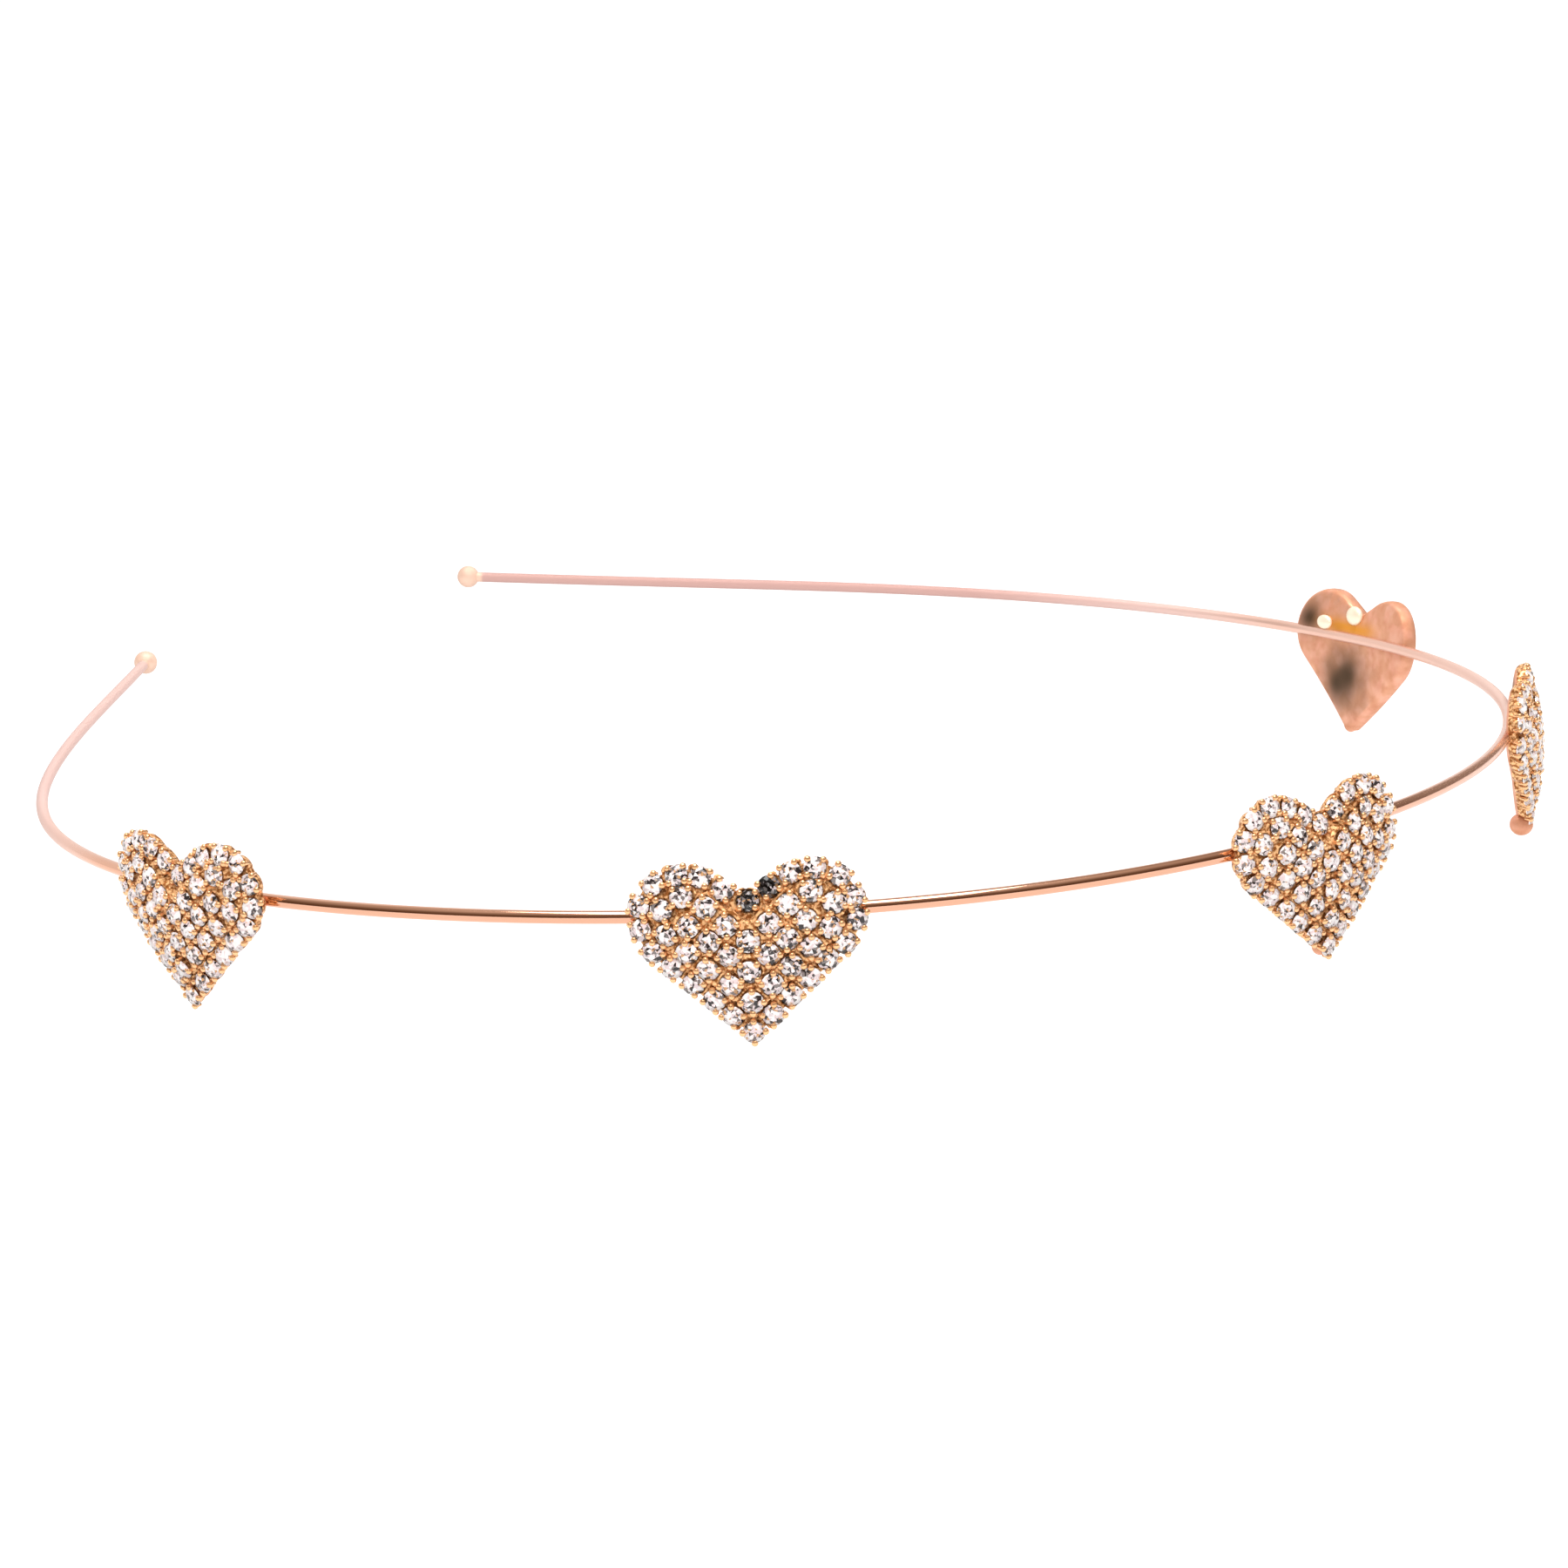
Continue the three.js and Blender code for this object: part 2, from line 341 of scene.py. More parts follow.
# The front between the stones can't be reached for polishing, so it keeps the casting's matt, speckled
# skin. The real grain is finer than these specks, which are drawn coarse enough to show.
FRONT_METAL = rose_gold(
    "rose_gold_as_cast", "#ffca92", 0.42, 0.5, relief=1.0, metallic=0.7, specks=("#9c5d2a", 0.35)
)
# The claws are brighter, because burnishing them down polishes them.
CLAW_METAL = rose_gold("rose_gold_burnished_claws", "#fac491", 0.24, 1.2, metallic=0.85)
# The end balls are dipped and stay satin.
BALL_METAL = rose_gold("rose_gold_satin_ball", BALL_SHADE, 0.6, 1.0, metallic=0.4)
print("metals:", [metal.name for metal in (WIRE_METAL, CASTING_METAL, FRONT_METAL, CLAW_METAL, BALL_METAL)])

# %% [markdown]
# ## The line of the wire
#
# The wire is bent more sharply over the brow and behind the ears than at its ends. A table of bends
# along one arm is enough to draw it: walk along the wire in short steps, turn a little at each, and
# keep the places. The other arm is its mirror image. Beyond the outer hearts the free arms spring up
# slightly, one more than the other. The right arm also bows out a little by its first heart, and sags
# under its outer one.

# %% Plan of one arm
ARM_LENGTH = 243.75
PLAN_STEP = 1.25
# Each row starts with a distance along the arm, in millimetres.
BENDS_DEGREES_PER_CM = {
    0: 6.0,
    31.25: 7.6,
    62.5: 6.7,
    93.75: 6.0,
    125: 8.5,
    156.25: 7.7,
    187.5: 2.7,
    218.75: 0.6,
    250: -1.1,
}


def value_at(values_by_arc, arc):
    """Read a table of values along the wire, sliding evenly from each row to the next."""
    arcs = list(values_by_arc)
    place = min(bisect.bisect_right(arcs, arc), len(arcs) - 1)
    start, end = arcs[place - 1], arcs[place]
    share = (arc - start) / (end - start)
    return (1 - share) * values_by_arc[start] + share * values_by_arc[end]


def bend_at(arc):
    """The bend of the wire at a distance from its middle, in radians for each millimetre."""
    return math.radians(value_at(BENDS_DEGREES_PER_CM, arc)) / 10


def plan_of_arm():
    """Walk along one arm and keep x, y and heading at each step."""
    rows = [(0.0, 0.0, 0.0)]
    for step in range(round(ARM_LENGTH / PLAN_STEP)):
        x, y, heading = rows[-1]
        turn = bend_at((step + 0.5) * PLAN_STEP) * PLAN_STEP
        x += PLAN_STEP * math.cos(heading + turn / 2)
        y += PLAN_STEP * math.sin(heading + turn / 2)
        rows.append((x, y, heading + turn))
    return rows


ARM_PLAN = plan_of_arm()
print("end of an arm from the middle, mm:", [round(value, 2) for value in ARM_PLAN[-1][:2]])

# %% Wire line
LEFT_SPRING = {"rise": 1.65, "power": 2.0}
RIGHT_SPRING = {"rise": 5.2, "power": 1.5}
RIGHT_SAG = {"size": 0.7, "start": 60, "end": 200}
RIGHT_BOW = {"size": 0.4, "start": 20, "end": 120}
HEART_SPACING = 59.2
REST_HEIGHT = 12.05
BALL_DIAMETER = 2.9
APEX_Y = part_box("band")[1][1] / MM - BALL_DIAMETER / 2 - ARM_PLAN[-1][1]


def hump(arc, size, start, end):
    """A smooth rise and fall between two places on the wire."""
    return size * math.sin(math.pi * (arc - start) / (end - start)) ** 2 if start < arc < end else 0.0


def wire_at(arc):
    """Where the wire's centre is, in millimetres, and which way it heads from left to right."""
    along, side = abs(arc), -1 if arc < 0 else 1
    index = min(int(along / PLAN_STEP), len(ARM_PLAN) - 2)
    share = along / PLAN_STEP - index
    x, y, heading = [(1 - share) * a + share * b for a, b in zip(ARM_PLAN[index], ARM_PLAN[index + 1])]
    free = max(0.0, (along - 2 * HEART_SPACING) / (ARM_LENGTH - 2 * HEART_SPACING))
    spring = LEFT_SPRING if arc < 0 else RIGHT_SPRING
    rise = spring["rise"] * free ** spring["power"]
    rise -= hump(arc, **RIGHT_SAG)
    x += hump(arc, **RIGHT_BOW)
    return Vector((side * x, APEX_Y + y, REST_HEIGHT + rise)), side * heading


print("wire middle, mm:", [round(value, 2) for value in wire_at(0)[0]])
print("wire end, mm:", [round(value, 2) for value in wire_at(ARM_LENGTH)[0]])

# %% [markdown]
# ## Trees for what repeats
#
# Geometry Nodes sweep the wire and set out the claws and the stones. Each tree is given named inputs,
# so its sizes can be changed without opening it. A modifier keeps its inputs under the sockets'
# identifiers, so they are set that way before the object is first evaluated. The result is then kept as
# a plain mesh, because the exported model can't hold a live tree.

# %% Tree helpers


def new_tree(name, sizes):
    """Start a tree that takes a mesh and named inputs, given as a name and a kind, and gives a mesh."""
    tree = bpy.data.node_groups.new(name, "GeometryNodeTree")
    tree.interface.new_socket("Geometry", in_out="INPUT", socket_type="NodeSocketGeometry")
    for label, kind in sizes.items():
        tree.interface.new_socket(label, in_out="INPUT", socket_type=kind)
    tree.interface.new_socket("Geometry", in_out="OUTPUT", socket_type="NodeSocketGeometry")
    return tree, add_node(tree, "NodeGroupInput").outputs


def keep_values(mesh, **values):
    """Keep named values on a mesh, one for each point, for a tree or a finish to read."""
    for name, row in values.items():
        mesh.attributes.new(name, "FLOAT", "POINT").data.foreach_set("value", row)


def grown_mesh(name, seed_mesh, tree, values):
    """Run a tree on a mesh with the given input values, and return the result as a plain mesh."""
    holder = bpy.data.objects.new(name, seed_mesh)
    scene.collection.objects.link(holder)
    modifier = holder.modifiers.new(tree.name, "NODES")
    modifier.node_group = tree
    labels = {item.name: item.identifier for item in tree.interface.items_tree if item.in_out == "INPUT"}
    for label, value in values.items():
        modifier[labels[label]] = value
    graph = bpy.context.evaluated_depsgraph_get()
    mesh = bpy.data.meshes.new_from_object(holder.evaluated_get(graph), depsgraph=graph)
    mesh.name = name
    holder.modifiers.remove(modifier)
    bpy.data.objects.remove(holder)
    bpy.data.meshes.remove(seed_mesh)
    return mesh


def keep_piece(name, mesh, place, slot, *nodes):
    """Move a mesh from millimetres to its place in the frame, and hang it on the headband's one body."""
    mesh.transform(Matrix.Scale(MM, 4) @ place)
    mesh.update()
    piece = bpy.data.objects.new(name, mesh)
    scene.collection.objects.link(piece)
    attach(piece, "root")
    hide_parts(*nodes)
    print(name, len(mesh.polygons), "faces")
    return piece


# %% [markdown]
# ## The wire and its end balls
#
# The wire is about 1.2 mm thick and ends in two small balls that keep it from scratching. A tube can be
# made by sweeping a circle along a line of points, which is what Curve to Mesh does. The line comes
# from the plan above as a mesh of edges. Each point keeps how thick the wire is there, so that it can
# be thinner where it is rubbed and swell into the ball at its ends. It also keeps how rubbed and dipped
# the wire is there, and how much painted shade darkens it, for the finish. Those tables go along the
# wire from its middle, in millimetres, with the left arm below zero.

# %% Wire tree
WIRE_DIAMETER = 1.28
WIRE_SIDES = 24
BALL_SIDES = 32
BALL_RINGS = 20


def wire_tree():
    """Sweep a circle along the line, and set a ball on each end of it."""
    sizes = {
        "Wire Diameter": "NodeSocketFloat",
        "Ball Diameter": "NodeSocketFloat",
        "Sides": "NodeSocketInt",
        "Wire Metal": "NodeSocketMaterial",
        "Ball Metal": "NodeSocketMaterial",
    }
    tree, given = new_tree("swept_wire", sizes)
    line = add_node(tree, "GeometryNodeMeshToCurve", {"Mesh": given["Geometry"]}).outputs[0]
    girth = add_node(tree, "GeometryNodeInputNamedAttribute", {"Name": "girth"}, data_type="FLOAT")
    sized = add_node(tree, "GeometryNodeSetCurveRadius", {"Curve": line, "Radius": girth.outputs[0]})
    half_wire = add_node(tree, "ShaderNodeMath", {0: given["Wire Diameter"], 1: 0.5}, operation="MULTIPLY")
    profile = {"Resolution": given["Sides"], "Radius": half_wire.outputs[0]}
    circle = add_node(tree, "GeometryNodeCurvePrimitiveCircle", profile)
    sweep = {"Curve": sized.outputs[0], "Profile Curve": circle.outputs[0], "Fill Caps": True}
    tube = add_node(tree, "GeometryNodeCurveToMesh", sweep)
    half_ball = add_node(tree, "ShaderNodeMath", {0: given["Ball Diameter"], 1: 0.5}, operation="MULTIPLY")
    ball_sizes = {"Segments": BALL_SIDES, "Rings": BALL_RINGS, "Radius": half_ball.outputs[0]}
    ball = add_node(tree, "GeometryNodeMeshUVSphere", ball_sizes)
    ends = add_node(tree, "GeometryNodeCurveEndpointSelection")
    balls = add_node(
        tree,
        "GeometryNodeInstanceOnPoints",
        {"Points": line, "Selection": ends.outputs[0], "Instance": ball.outputs[0]},
    )
    solid_balls = add_node(tree, "GeometryNodeRealizeInstances", {"Geometry": balls.outputs[0]})
    both = add_node(tree, "GeometryNodeJoinGeometry")
    for piece, metal in ((tube, "Wire Metal"), (solid_balls, "Ball Metal")):
        smooth = add_node(tree, "GeometryNodeSetShadeSmooth", {"Geometry": piece.outputs[0]})
        plating = {"Geometry": smooth.outputs[0], "Material": given[metal]}
        plated = add_node(tree, "GeometryNodeSetMaterial", plating)
        tree.links.new(plated.outputs[0], both.inputs[0])
    add_node(tree, "NodeGroupOutput", {"Geometry": both.outputs[0]})
    return tree


swept_wire = wire_tree()
print("wire tree has", len(swept_wire.nodes), "nodes")

# %% Wire
NECK_LENGTH = 0.9
NECK_SWELL = 0.45
NECK_SHARES = (0.0, 0.25, 0.5, 0.75)
LEFT_TAPER = 0.22
RIGHT_TAPER = 0.12
DIP_LENGTH = 0.7
RUBBED_BY_ARC = {
    -250: 1.0,
    -168: 1.0,
    -148: 0.45,
    -136: 0.0,
    4: 0.0,
    22: 0.22,
    52: 0.4,
    76: 0.7,
    104: 0.45,
    130: 0.5,
    150: 1.0,
    250: 1.0,
}
# How much painted shade darkens the wire: fully on the right arm past its outer heart, about half on the left
# arm's end.
ARM_PAINTED_SHADE_BY_ARC = {-250: 0.4, -175: 0.5, -136: 0.0, 130: 0.0, 175: 1.0, 250: 1.0}


def wire_line():
    """The wire's centre line as a mesh of edges, with how thick and how rubbed the wire is at each point."""
    count = round(2 * ARM_LENGTH / PLAN_STEP)
    arcs = [-ARM_LENGTH + step * PLAN_STEP for step in range(count + 1)]
    tube_end = ARM_LENGTH - BALL_DIAMETER / 2
    necks = [tube_end - NECK_LENGTH * share for share in NECK_SHARES]
    arcs = sorted(arcs + necks + [-neck for neck in necks])
    mesh = bpy.data.meshes.new("wire_line")
    mesh.from_pydata([wire_at(arc)[0] for arc in arcs], [(i, i + 1) for i in range(len(arcs) - 1)], [])
    to_ball = [max(0.0, tube_end - abs(arc)) for arc in arcs]
    rubbed = [value_at(RUBBED_BY_ARC, arc) for arc in arcs]
    swells = [NECK_SWELL * max(0.0, 1 - gap / NECK_LENGTH) ** 2 for gap in to_ball]
    tapers = [LEFT_TAPER if arc < 0 else RIGHT_TAPER for arc in arcs]
    girths = [1 - taper * rub + swell for taper, rub, swell in zip(tapers, rubbed, swells)]
    dipped = [min(1.0, max(0.0, 2 - 2 * gap / DIP_LENGTH)) for gap in to_ball]
    darkened = [value_at(ARM_PAINTED_SHADE_BY_ARC, arc) for arc in arcs]
    keep_values(mesh, girth=girths, rubbed=rubbed, dipped=dipped, darkened=darkened)
    return mesh


wire_sizes = {
    "Wire Diameter": WIRE_DIAMETER,
    "Ball Diameter": BALL_DIAMETER,
    "Sides": WIRE_SIDES,
    "Wire Metal": WIRE_METAL,
    "Ball Metal": BALL_METAL,
}
wire_mesh = grown_mesh("wire", wire_line(), swept_wire, wire_sizes)
keep_piece("wire", wire_mesh, Matrix.Identity(4), "rose_gold", "band")

# %% [markdown]
# ## Where the hearts and stones stand
#
# Each heart is soldered to the wire by its back and faces outwards. Soldering by hand leaves each one a
# little askew and bent round the wire, so a short table keeps how far it is moved from its even place,
# how it is turned, the radius that it is bent to, and its size. Heights on a heart are measured from
# the wire. Its outline is two round lobes joined by straight lines to a notch and a tip. The stones
# follow that outline in two rings, and a V of seven stones fills the middle. Keeping the outline as a
# function of a margin gives the rings, the plate's edge and its rounded rim from one drawing.

# %% Heart places
HEART_NAMES = ("left_outer", "left", "middle", "right", "right_outer")
# Moves and the bend's radius are in millimetres, lean, turn and roll in degrees, and size is a share.
HEART_SET = {
    "left_outer": dict(slide=-1.3, drop=-0.1, out=0.0, lean=1.2, turn=-3.6, roll=1.5, bend=55, size=1.0),
    "left": dict(slide=0.0, drop=0.2, out=0.0, lean=-7.0, turn=-0.4, roll=0.6, bend=70, size=1.0),
    "middle": dict(slide=1.0, drop=0.3, out=0.0, lean=-3.0, turn=-0.8, roll=0.0, bend=90, size=1.0),
    "right": dict(slide=0.0, drop=0.3, out=0.4, lean=-0.5, turn=-3.4, roll=-1.2, bend=115, size=1.0),
    "right_outer": dict(slide=-2.35, drop=-0.05, out=0.0, lean=9.0, turn=-0.8, roll=0.8, bend=45, size=0.952),
}


def heart_place(index):
    """The matrix that stands a heart, drawn flat in millimetres, at its place on the wire."""
    given = HEART_SET[HEART_NAMES[index]]
    point, heading = wire_at((index - 2) * HEART_SPACING)
    place = Matrix.Translation(point) @ Matrix.Rotation(heading, 4, "Z")
    place = place @ Matrix.Rotation(math.pi / 2, 4, "X")
    place = place @ Matrix.Translation((given["slide"], -given["drop"], given["out"]))
    for way, axis in (("turn", "Y"), ("lean", "X"), ("roll", "Z")):
        place = place @ Matrix.Rotation(math.radians(given[way]), 4, axis)
    return place


def keep_on_heart(kind, index, mesh, slot, node):
    """Bend a heart's flat mesh to its radius, with its front outwards, and keep it at the heart's place."""
    name = HEART_NAMES[index]
    radius, size = HEART_SET[name]["bend"], HEART_SET[name]["size"]
    for vertex in mesh.vertices:
        x, y, z = size * vertex.co
        vertex.co = ((radius + z) * math.sin(x / radius), y, (radius + z) * math.cos(x / radius) - radius)
    return keep_piece(f"{kind}_{name}", mesh, heart_place(index), slot, node)


for index, name in enumerate(HEART_NAMES):
    print(name, "heart stands at, mm:", [round(value, 1) for value in heart_place(index).translation])

# %% Heart outline
LOBE_X = 5.9
LOBE_Y = 0.2


def tangent_angle(corner_y, radius, side):
    """Where a straight line from a corner on the middle line touches the right lobe."""
    away = math.atan2(corner_y - LOBE_Y, -LOBE_X)
    reach = math.hypot(LOBE_X, corner_y - LOBE_Y)
    return (away + side * math.acos(radius / reach)) % (2 * math.pi)


def right_half(radius, notch_angle, tip_angle, notch, tip, count):
    """Points round the right half of a heart, equally spaced, from the notch to the tip."""
    arc_points = 60
    sweep = (notch_angle - tip_angle) % (2 * math.pi)
    line = [Vector((0, notch))]
    for step in range(arc_points + 1):
        angle = notch_angle - sweep * step / arc_points
        line.append(Vector((LOBE_X + radius * math.cos(angle), LOBE_Y + radius * math.sin(angle))))
    line.append(Vector((0, tip)))
    lengths = [0.0]
    for start, end in zip(line, line[1:]):
        lengths.append(lengths[-1] + (end - start).length)
    points = []
    for step in range(count + 1):
        want = lengths[-1] * step / count
        index = max(i for i in range(len(line) - 1) if lengths[i] <= want + 1e-9)
        share = (want - lengths[index]) / (lengths[index + 1] - lengths[index])
        points.append(line[index].lerp(line[index + 1], min(share, 1.0)))
    return points


print("lobes are", 2 * LOBE_X, "mm apart")

# %% Stone places
OUTER_RING = {"radius": 4.3, "notch": 1.6, "tip": -10.8, "steps": 12}
INNER_RING = {"radius": 2.18, "notch": -2.1, "tip": -7.85, "steps": 9}
STONE_V = {"tip": -4.95, "end": (5.4, -0.45), "steps": 3}
MIDDLE_STRIP = 0.5


def ring_places(ring):
    """The stones of one ring, on its right half."""
    notch_angle = tangent_angle(ring["notch"], ring["radius"], -1)
    tip_angle = tangent_angle(ring["tip"], ring["radius"], 1)
    return right_half(ring["radius"], notch_angle, tip_angle, ring["notch"], ring["tip"], ring["steps"])


def row_turns(places):
    """Which way a row of stones runs at each of its places."""
    turns = []
    for index in range(len(places)):
        run = places[min(index + 1, len(places) - 1)] - places[max(index - 1, 0)]
        turns.append(math.atan2(run.y, run.x))
    turns[0] = 0.0
    turns[-1] = math.pi / 4
    return turns


def stone_seats():
    """Every stone's place on a heart, with the way its row runs: the right half first, then its mirror.

    A stone in the strip down the middle has no mirror image.
    """
    v_end = Vector(STONE_V["end"])
    v_tip = Vector((0, STONE_V["tip"]))
    v_row = [v_tip.lerp(v_end, step / STONE_V["steps"]) for step in range(STONE_V["steps"] + 1)]
    seats = []
    for row in (ring_places(OUTER_RING), ring_places(INNER_RING), v_row):
        seats += list(zip(row, row_turns(row)))
    mirrored = [(Vector((-place.x, place.y)), -turn) for place, turn in seats if place.x > MIDDLE_STRIP]
    return seats + mirrored


SEATS = stone_seats()
print("stones on a heart:", len(SEATS))

# %% [markdown]
# ## The dome of a heart
#
# The front of a heart is a low dome: the outer row of stones sits close to the back, and the middle
# stones stand about a millimetre higher. The height depends on how far a place is between the middle
# and the outer row. That share, measured along a line from the middle, follows the lobes and the notch
# without any further drawing. The slope of the dome, found from two places close together, leans the
# outer stones outwards.

# %% Dome
HEART_MIDDLE = Vector((0, -2.6))
OUTLINE_STEPS = 120
RIM_GIRDLE = 1.8
DOME_RISE = 1.15
DOME_POWER = 2.2
STEEPEST_LEAN = math.radians(14)


def outline(margin):
    """The heart's outline at a margin outside the outer stones, closed and anticlockwise from the tip."""
    notch_angle = tangent_angle(OUTER_RING["notch"], OUTER_RING["radius"], -1)
    tip_angle = tangent_angle(OUTER_RING["tip"], OUTER_RING["radius"], 1)
    notch = OUTER_RING["notch"] + margin / math.sin(notch_angle)
    tip = OUTER_RING["tip"] + margin / math.sin(tip_angle)
    half = right_half(OUTER_RING["radius"] + margin, notch_angle, tip_angle, notch, tip, OUTLINE_STEPS)
    rounding = Vector((0, OUTER_RING["tip"]))
    for index, point in enumerate(half):
        if margin > 0 and point.y < OUTER_RING["tip"] + margin * math.sin(tip_angle):
            half[index] = rounding + (point - rounding).normalized() * margin
    left = [Vector((-point.x, point.y)) for point in half[1:-1]]
    return half[::-1] + left


def turn_from_tip(point):
    """The direction of a place seen from the heart's middle, anticlockwise from the tip."""
    away = point - HEART_MIDDLE
    return (math.atan2(away.y, away.x) + math.pi / 2) % (2 * math.pi)


OUTER_ROW = outline(0)
OUTER_TURNS = [0.0] + [turn_from_tip(point) for point in OUTER_ROW[1:]] + [2 * math.pi]
OUTER_REACHES = [(point - HEART_MIDDLE).length for point in OUTER_ROW + OUTER_ROW[:1]]


def dome(point):
    """How high the dome stands over the outer row at a place."""
    turn = turn_from_tip(point)
    index = min(max(bisect.bisect_right(OUTER_TURNS, turn), 1), len(OUTER_TURNS) - 1)
    share = (turn - OUTER_TURNS[index - 1]) / (OUTER_TURNS[index] - OUTER_TURNS[index - 1])
    reach = (1 - share) * OUTER_REACHES[index - 1] + share * OUTER_REACHES[index]
    return DOME_RISE * (1 - ((point - HEART_MIDDLE).length / reach) ** DOME_POWER)


def dome_lean(point):
    """How far a stone on the dome leans, as small turns about X and Y."""
    step = 0.25
    rise_x = (dome(point + Vector((step, 0))) - dome(point - Vector((step, 0)))) / (2 * step)
    rise_y = (dome(point + Vector((0, step))) - dome(point - Vector((0, step)))) / (2 * step)
    lean = Vector((rise_y, -rise_x))
    return lean * min(1.0, STEEPEST_LEAN / max(lean.length, 1e-6))


print("dome over the outer row, mm:", round(dome(HEART_MIDDLE), 2))

# %% [markdown]
# ## Seats
#
# Hand setting is never quite even, so each stone is shifted and tilted a little, from a fixed seed. The
# casting needs the same places for its pits, and the trees for the claws and stones need them as
# points. Each point carries the turns of its seat, so a tree only has to read them. Two stones of the
# left heart have lost their foil and gone dark, and their points say so.

# %% Seats
SEAT_SHIFT = 0.09
SEAT_TILT = math.radians(8)
DULL_STONES = {"left": (0, 1)}
DULLNESS = 1.60


def set_seats(seed):
    """The seats of one heart: the place of each stone's girdle, and its turns about X, Y and Z."""
    chance = random.Random(seed)
    seats = []
    for place, turn in SEATS:
        shift = Vector((chance.uniform(-1, 1), chance.uniform(-1, 1))) * SEAT_SHIFT
        tilt = Vector((chance.uniform(-1, 1), chance.uniform(-1, 1))) * SEAT_TILT
        lean = Matrix.Rotation(-turn, 2) @ dome_lean(place) + tilt
        girdle = RIM_GIRDLE + dome(place)
        seats.append((Vector((place.x + shift.x, place.y + shift.y, girdle)), Vector((lean.x, lean.y, turn))))
    return seats


def seat_points(name, seats):
    """A heart's seats as bare points, with the turns of each, and which stones have lost their foil."""
    mesh = bpy.data.meshes.new(f"seats_{name}")
    mesh.from_pydata([place for place, turns in seats], [], [])
    flat_turns = [value for place, turns in seats for value in turns]
    mesh.attributes.new("turns", "FLOAT_VECTOR", "POINT").data.foreach_set("vector", flat_turns)
    dull = [DULLNESS * (index in DULL_STONES.get(name, ())) for index in range(len(seats))]
    keep_values(mesh, dull=dull)
    return mesh


HEART_SEATS = {name: set_seats(index + 1) for index, name in enumerate(HEART_NAMES)}
print("highest girdle, mm:", round(max(place.z for place, turns in HEART_SEATS["left"]), 2))

# %% [markdown]
# ## The castings
#
# Each heart is one casting. Its front has a pit for every stone, its wall bulges round the outer stones
# like a row of cups, and its back, which the right outer heart shows, is puffed like a small cushion
# with a few slight dents. That heart's back plate is also wider, so its wall flares out past the cups
# and stands taller. A heart isn't convex, so the wall is drawn as offsets of the outline, and the front
# and back are filled with shrunken copies of its edge. The back's heights are smoothed like a stretched
# sheet, which gives a soft cushion with no crease. Where the wire is soldered on, the metal swells in a
# low uneven seam.

# %% Casting walls
ON_OUTLINE = 0.05
CUP_RADIUS = 0.98
WALL_ROWS = (
    {"cups": 1.0, "margin": 0.25, "depth": 1.56},
    {"cups": 1.0, "margin": 0.32, "depth": 1.46},
    {"cups": 0.9, "margin": 0.34, "depth": 1.15},
    {"cups": 0.7, "margin": 0.30, "depth": 0.78},
    {"cups": 0.4, "margin": 0.20, "depth": 0.48},
    {"cups": 0.1, "margin": 0.00, "depth": 0.28},
    {"cups": 0.0, "margin": -0.26, "depth": 0.22},
)
CUP_ROWS = 4
WALL_FLARE = {"right_outer": 0.90}
FLARED_DEPTH = 1.35


def wall_loop(row, flare):
    """One loop of the wall: it bulges round the outer stones like cups, or flares out past them."""
    near, far = outline(0), outline(1)
    outer_seats = []
    for place, turn in SEATS:
        if min((place - point).length for point in near) < ON_OUTLINE:
            outer_seats.append(place)
    loop = []
    for start, end in zip(near, far):
        gap = min((start - place).length for place in outer_seats)
        cup = math.sqrt(max(0.0, CUP_RADIUS**2 - gap**2))
        plain = row["margin"] + flare
        flat = start.lerp(end, plain + row["cups"] * max(0.0, cup - plain))
        loop.append(Vector((flat.x, flat.y, row["depth"] * (FLARED_DEPTH if flare else 1.0))))
    return loop


WALLS = {name: [wall_loop(row, WALL_FLARE.get(name, 0.0)) for row in WALL_ROWS] for name in HEART_NAMES}
print("wall of", len(WALL_ROWS), "loops with", len(OUTER_ROW), "points each")

# %% Casting fronts and backs
FRONT_RINGS = 64
BACK_RINGS = 16
BACK_CROWDING = 1.3
FLOOR_DROP = 0.14
PIT_RADIUS = 1.2
PIT_SLOPE = 2.2
PIT_DEPTH = 0.55
CUSHION = 0.35
RELAX_ROUNDS = 40
SEAM = {"half_length": 7.0, "half_width": 1.0, "swell": 0.2}
DENT_DEPTH = 0.10
SWELL_FADE = 1.6
FLUX = {"x": 1.0, "y": 1.2, "half_length": 5.5, "half_width": 1.1}
RAGGED_EDGE = 0.3
# Each dark patch has its x, y and radius, in millimetres on the heart.
DARK_PATCHES = {
    "left_outer": ((3.0, -4.0, 2.2), (-5.5, 2.0, 1.5)),
    "left": ((-2.0, -5.0, 2.0), (6.5, 1.0, 1.6)),
    "middle": ((1.5, -6.0, 1.8), (-6.0, 1.5, 1.8)),
    "right": ((-3.0, -3.5, 2.2), (4.5, 2.5, 1.4)),
    "right_outer": ((0.5, -5.0, 3.4), (2.6, -6.2, 2.6), (8.9, 1.5, 2.2)),
}


def floor_height(point, seats):
    """How high the front stands: just under the stones' edges, with a steep pit under each stone."""
    gap, girdle = min(((point - place.xy).length, place.z) for place, turns in seats)
    return girdle - FLOOR_DROP - min(PIT_DEPTH, PIT_SLOPE * max(0.0, PIT_RADIUS - gap))


def cushion_heights(ring_count, count):
    """Heights of the back's rings: raised in the middle, then relaxed like a stretched sheet."""
    heights = [[0.0 if ring == 0 else 1.0] * count for ring in range(ring_count)]
    for _ in range(RELAX_ROUNDS):
        relaxed = [heights[0]]
        for ring in range(1, ring_count):
            row = []
            for index in range(count):
                inner = heights[min(ring + 1, ring_count - 1)][index]
                beside = heights[ring][index - 1] + heights[ring][(index + 1) % count]
                row.append((heights[ring - 1][index] + inner + beside) / 4)
            relaxed.append(row)
        heights = relaxed
    return heights


